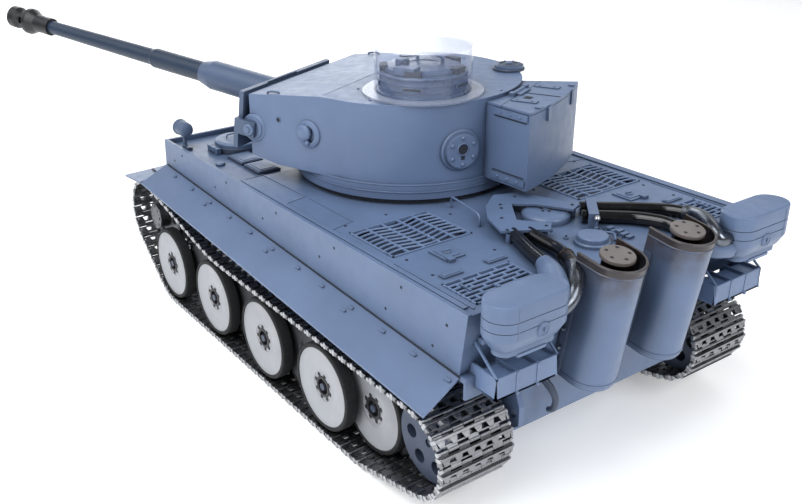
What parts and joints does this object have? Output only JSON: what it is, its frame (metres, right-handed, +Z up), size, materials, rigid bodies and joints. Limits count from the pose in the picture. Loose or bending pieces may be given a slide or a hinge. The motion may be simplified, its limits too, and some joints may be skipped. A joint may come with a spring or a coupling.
{
  "type": "radio-controlled model tank",
  "caption": "Radio-controlled model of a heavy tank: turning turret with a long stepped gun, overlapping road wheels, metal tracks, clear cupola cover and upright rear exhausts.",
  "frame": {"origin": "centre of the model's bounding box in plan, on the ground under the tracks, with the turret turned 24.5 degrees to the left and the gun raised 7.5 degrees; the hull's own centre line lies 15.07 mm to the right of it", "axes": "+X points forward along the hull, +Y to the hull's left, +Z up"},
  "size_m": [0.5066, 0.2658, 0.1934],
  "materials": {
    "grey_blue_paint": "satin sprayed paint over moulded plastic",
    "dark_metal": "dark painted metal",
    "exhaust_paint": "heat-stained brown paint",
    "track_steel": "bare cast links, blackened in the recesses",
    "hose_rubber": "glossy black",
    "barrel_paint": "dark painted, satin",
    "black_paint": "satin black",
    "clear_plastic": "clear, polished",
    "circuit_plastic": "circuit board green",
    "black_plastic": "plain moulded black",
    "sprocket_metal": "bare metal, brushed",
    "wheel_paint": "pale grey paint on the discs, with black tyres"
  },
  "bodies": {
    "hull": {"lower_hull": "grey_blue_paint", "upper_hull": "grey_blue_paint", "mudguards": "grey_blue_paint", "track_left": "track_steel", "track_right": "track_steel", "track_pins": "track_steel", "swing_arms": "dark_metal", "final_drives": "dark_metal", "deck_grilles": "grey_blue_paint", "engine_deck_fittings": "grey_blue_paint", "headlights": "grey_blue_paint", "front_fittings": "grey_blue_paint", "muffler_shields": "grey_blue_paint", "mufflers": "exhaust_paint", "muffler_caps": "exhaust_paint", "air_filters": "grey_blue_paint", "filter_hoses": "hose_rubber", "tail_boxes": "grey_blue_paint", "door_rails": "grey_blue_paint", "electronics": "circuit_plastic", "battery": "black_plastic", "gearboxes": "black_plastic"},
    "turret": {"turret_body": "grey_blue_paint", "turret_base": "grey_blue_paint", "cupola": "grey_blue_paint", "turret_hinges": "grey_blue_paint", "turret_fittings": "grey_blue_paint", "stowage_bin": "grey_blue_paint"},
    "gun_cradle": {"mantlet": "grey_blue_paint"},
    "barrel": {"gun_barrel": "barrel_paint", "muzzle_brake": "black_paint"},
    "clear_cover": {"clear_cover": "clear_plastic"},
    "loader_hatch": {"loader_hatch": "grey_blue_paint"},
    "bin_lid": {"bin_lid": "grey_blue_paint"},
    "driver_hatch": {"driver_hatch": "grey_blue_paint"},
    "radio_hatch": {"radio_hatch": "grey_blue_paint"},
    "hull_gun": {"hull_gun": "dark_metal"},
    "battery_door": {"battery_door": "grey_blue_paint"},
    "power_switch": {"power_switch": "black_plastic"},
    "drive_sprocket_left": {"drive_sprocket_left": "sprocket_metal"},
    "idler_wheel_left": {"idler_wheel_left": "wheel_paint"},
    "road_wheel_left_1": {"road_wheel_left_1": "wheel_paint"},
    "road_wheel_left_2": {"road_wheel_left_2": "wheel_paint"},
    "road_wheel_left_3": {"road_wheel_left_3": "wheel_paint"},
    "road_wheel_left_4": {"road_wheel_left_4": "wheel_paint"},
    "road_wheel_left_5": {"road_wheel_left_5": "wheel_paint"},
    "road_wheel_left_6": {"road_wheel_left_6": "wheel_paint"},
    "road_wheel_left_7": {"road_wheel_left_7": "wheel_paint"},
    "road_wheel_left_8": {"road_wheel_left_8": "wheel_paint"},
    "drive_sprocket_right": {"drive_sprocket_right": "sprocket_metal"},
    "idler_wheel_right": {"idler_wheel_right": "wheel_paint"},
    "road_wheel_right_1": {"road_wheel_right_1": "wheel_paint"},
    "road_wheel_right_2": {"road_wheel_right_2": "wheel_paint"},
    "road_wheel_right_3": {"road_wheel_right_3": "wheel_paint"},
    "road_wheel_right_4": {"road_wheel_right_4": "wheel_paint"},
    "road_wheel_right_5": {"road_wheel_right_5": "wheel_paint"},
    "road_wheel_right_6": {"road_wheel_right_6": "wheel_paint"},
    "road_wheel_right_7": {"road_wheel_right_7": "wheel_paint"},
    "road_wheel_right_8": {"road_wheel_right_8": "wheel_paint"}
  },
  "joints": [
    {"name": "turret_traverse", "type": "hinge", "parent": "hull", "child": "turret", "pos_m": [-0.05889, -0.01507, 0.12], "axis": [0, 0, 1], "continuous": true},
    {"name": "gun_elevation", "type": "hinge", "parent": "turret", "child": "gun_cradle", "pos_m": [0.0048, 0.01396, 0.1428], "axis": [0.4147, -0.91, 0], "range_deg": [-15.5, 2.5]},
    {"name": "gun_recoil", "type": "slide", "parent": "gun_cradle", "child": "barrel", "axis": [-0.9022, -0.4111, -0.1305], "range_m": [0, 0.008], "stiffness_N_per_m": 250, "springref_m": -0.003},
    {"name": "clear_cover_lift", "type": "slide", "parent": "turret", "child": "clear_cover", "axis": [0, 0, 1], "range_m": [0, 0.035]},
    {"name": "loader_hatch_swing", "type": "hinge", "parent": "turret", "child": "loader_hatch", "pos_m": [-0.02758, -0.03651, 0.1698], "axis": [-0.4147, 0.91, 0], "range_deg": [0, 100]},
    {"name": "bin_lid_swing", "type": "hinge", "parent": "turret", "child": "bin_lid", "pos_m": [-0.12168, -0.04368, 0.1667], "axis": [-0.4147, 0.91, 0], "range_deg": [0, 95]},
    {"name": "driver_hatch_swing", "type": "hinge", "parent": "hull", "child": "driver_hatch", "pos_m": [0.04421, 0.06453, 0.1126], "axis": [-1, 0, 0], "range_deg": [0, 100]},
    {"name": "radio_hatch_swing", "type": "hinge", "parent": "hull", "child": "radio_hatch", "pos_m": [0.04421, -0.09467, 0.1126], "axis": [1, 0, 0], "range_deg": [0, 100]},
    {"name": "hull_gun_swing", "type": "hinge", "parent": "hull", "child": "hull_gun", "pos_m": [0.08221, -0.05707, 0.0975], "axis": [0, 0, 1], "range_deg": [-15, 15]},
    {"name": "battery_door_slide", "type": "slide", "parent": "hull", "child": "battery_door", "axis": [-1, 0, 0], "range_m": [0, 0.038]},
    {"name": "power_switch_slide", "type": "slide", "parent": "hull", "child": "power_switch", "axis": [1, 0, 0], "range_m": [0, 0.0035]},
    {"name": "drive_sprocket_left_spin", "type": "hinge", "parent": "hull", "child": "drive_sprocket_left", "pos_m": [0.09921, 0.07293, 0.0532], "axis": [0, 1, 0], "continuous": true},
    {"name": "idler_wheel_left_spin", "type": "hinge", "parent": "hull", "child": "idler_wheel_left", "pos_m": [-0.20379, 0.07293, 0.0352], "axis": [0, 1, 0], "continuous": true},
    {"name": "road_wheel_left_1_spin", "type": "hinge", "parent": "hull", "child": "road_wheel_left_1", "pos_m": [0.06781, 0.07293, 0.0287], "axis": [0, 1, 0], "continuous": true},
    {"name": "road_wheel_left_2_spin", "type": "hinge", "parent": "hull", "child": "road_wheel_left_2", "pos_m": [0.03561, 0.07293, 0.0287], "axis": [0, 1, 0], "continuous": true},
    {"name": "road_wheel_left_3_spin", "type": "hinge", "parent": "hull", "child": "road_wheel_left_3", "pos_m": [0.00341, 0.07293, 0.0287], "axis": [0, 1, 0], "continuous": true},
    {"name": "road_wheel_left_4_spin", "type": "hinge", "parent": "hull", "child": "road_wheel_left_4", "pos_m": [-0.02879, 0.07293, 0.0287], "axis": [0, 1, 0], "continuous": true},
    {"name": "road_wheel_left_5_spin", "type": "hinge", "parent": "hull", "child": "road_wheel_left_5", "pos_m": [-0.06099, 0.07293, 0.0287], "axis": [0, 1, 0], "continuous": true},
    {"name": "road_wheel_left_6_spin", "type": "hinge", "parent": "hull", "child": "road_wheel_left_6", "pos_m": [-0.09319, 0.07293, 0.0287], "axis": [0, 1, 0], "continuous": true},
    {"name": "road_wheel_left_7_spin", "type": "hinge", "parent": "hull", "child": "road_wheel_left_7", "pos_m": [-0.12539, 0.07293, 0.0287], "axis": [0, 1, 0], "continuous": true},
    {"name": "road_wheel_left_8_spin", "type": "hinge", "parent": "hull", "child": "road_wheel_left_8", "pos_m": [-0.15759, 0.07293, 0.0287], "axis": [0, 1, 0], "continuous": true},
    {"name": "drive_sprocket_right_spin", "type": "hinge", "parent": "hull", "child": "drive_sprocket_right", "pos_m": [0.09921, -0.10307, 0.0532], "axis": [0, 1, 0], "continuous": true},
    {"name": "idler_wheel_right_spin", "type": "hinge", "parent": "hull", "child": "idler_wheel_right", "pos_m": [-0.20379, -0.10307, 0.0352], "axis": [0, 1, 0], "continuous": true},
    {"name": "road_wheel_right_1_spin", "type": "hinge", "parent": "hull", "child": "road_wheel_right_1", "pos_m": [0.06781, -0.10307, 0.0287], "axis": [0, 1, 0], "continuous": true},
    {"name": "road_wheel_right_2_spin", "type": "hinge", "parent": "hull", "child": "road_wheel_right_2", "pos_m": [0.03561, -0.10307, 0.0287], "axis": [0, 1, 0], "continuous": true},
    {"name": "road_wheel_right_3_spin", "type": "hinge", "parent": "hull", "child": "road_wheel_right_3", "pos_m": [0.00341, -0.10307, 0.0287], "axis": [0, 1, 0], "continuous": true},
    {"name": "road_wheel_right_4_spin", "type": "hinge", "parent": "hull", "child": "road_wheel_right_4", "pos_m": [-0.02879, -0.10307, 0.0287], "axis": [0, 1, 0], "continuous": true},
    {"name": "road_wheel_right_5_spin", "type": "hinge", "parent": "hull", "child": "road_wheel_right_5", "pos_m": [-0.06099, -0.10307, 0.0287], "axis": [0, 1, 0], "continuous": true},
    {"name": "road_wheel_right_6_spin", "type": "hinge", "parent": "hull", "child": "road_wheel_right_6", "pos_m": [-0.09319, -0.10307, 0.0287], "axis": [0, 1, 0], "continuous": true},
    {"name": "road_wheel_right_7_spin", "type": "hinge", "parent": "hull", "child": "road_wheel_right_7", "pos_m": [-0.12539, -0.10307, 0.0287], "axis": [0, 1, 0], "continuous": true},
    {"name": "road_wheel_right_8_spin", "type": "hinge", "parent": "hull", "child": "road_wheel_right_8", "pos_m": [-0.15759, -0.10307, 0.0287], "axis": [0, 1, 0], "continuous": true}
  ],
  "couplings": [
    {"joint": "idler_wheel_left_spin", "follows": "drive_sprocket_left_spin", "ratio": 1.1614},
    {"joint": "road_wheel_left_1_spin", "follows": "drive_sprocket_left_spin", "ratio": 1.0402},
    {"joint": "road_wheel_left_2_spin", "follows": "drive_sprocket_left_spin", "ratio": 1.0402},
    {"joint": "road_wheel_left_3_spin", "follows": "drive_sprocket_left_spin", "ratio": 1.0402},
    {"joint": "road_wheel_left_4_spin", "follows": "drive_sprocket_left_spin", "ratio": 1.0402},
    {"joint": "road_wheel_left_5_spin", "follows": "drive_sprocket_left_spin", "ratio": 1.0402},
    {"joint": "road_wheel_left_6_spin", "follows": "drive_sprocket_left_spin", "ratio": 1.0402},
    {"joint": "road_wheel_left_7_spin", "follows": "drive_sprocket_left_spin", "ratio": 1.0402},
    {"joint": "road_wheel_left_8_spin", "follows": "drive_sprocket_left_spin", "ratio": 1.0402},
    {"joint": "idler_wheel_right_spin", "follows": "drive_sprocket_right_spin", "ratio": 1.1614},
    {"joint": "road_wheel_right_1_spin", "follows": "drive_sprocket_right_spin", "ratio": 1.0402},
    {"joint": "road_wheel_right_2_spin", "follows": "drive_sprocket_right_spin", "ratio": 1.0402},
    {"joint": "road_wheel_right_3_spin", "follows": "drive_sprocket_right_spin", "ratio": 1.0402},
    {"joint": "road_wheel_right_4_spin", "follows": "drive_sprocket_right_spin", "ratio": 1.0402},
    {"joint": "road_wheel_right_5_spin", "follows": "drive_sprocket_right_spin", "ratio": 1.0402},
    {"joint": "road_wheel_right_6_spin", "follows": "drive_sprocket_right_spin", "ratio": 1.0402},
    {"joint": "road_wheel_right_7_spin", "follows": "drive_sprocket_right_spin", "ratio": 1.0402},
    {"joint": "road_wheel_right_8_spin", "follows": "drive_sprocket_right_spin", "ratio": 1.0402}
  ]
}
